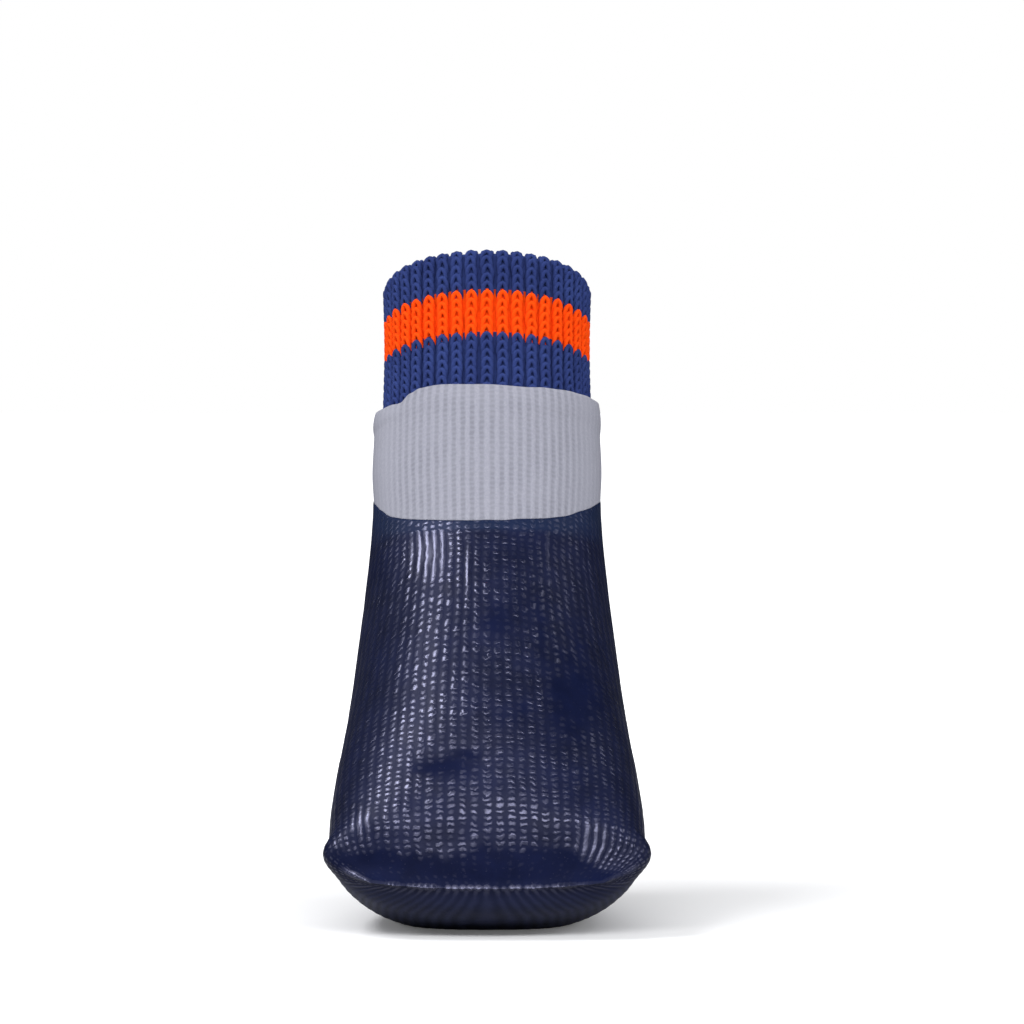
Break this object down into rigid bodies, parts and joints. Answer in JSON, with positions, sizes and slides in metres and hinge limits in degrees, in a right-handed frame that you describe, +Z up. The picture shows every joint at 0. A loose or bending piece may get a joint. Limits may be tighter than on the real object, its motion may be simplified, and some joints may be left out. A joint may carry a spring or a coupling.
{
  "type": "dog boot",
  "caption": "Knitted dog boot with a ribbed, striped cuff and a foot dipped in rubber, hollow and open at the collar.",
  "frame": {"origin": "on the floor, under the middle of the boot's length and width, with the boot standing on its sole", "axes": "+Z up, toe to -Y, collar leaning back to +Y, +X across the width"},
  "size_m": [0.0494, 0.0828, 0.1054],
  "materials": {
    "rib_knit": "matte",
    "grey_knit": "matte",
    "dipped_rubber": "gloss"
  },
  "bodies": {
    "root": {"rib_cuff": "rib_knit", "knit_sock": "grey_knit", "rubber_coat": "dipped_rubber"}
  },
  "joints": []
}
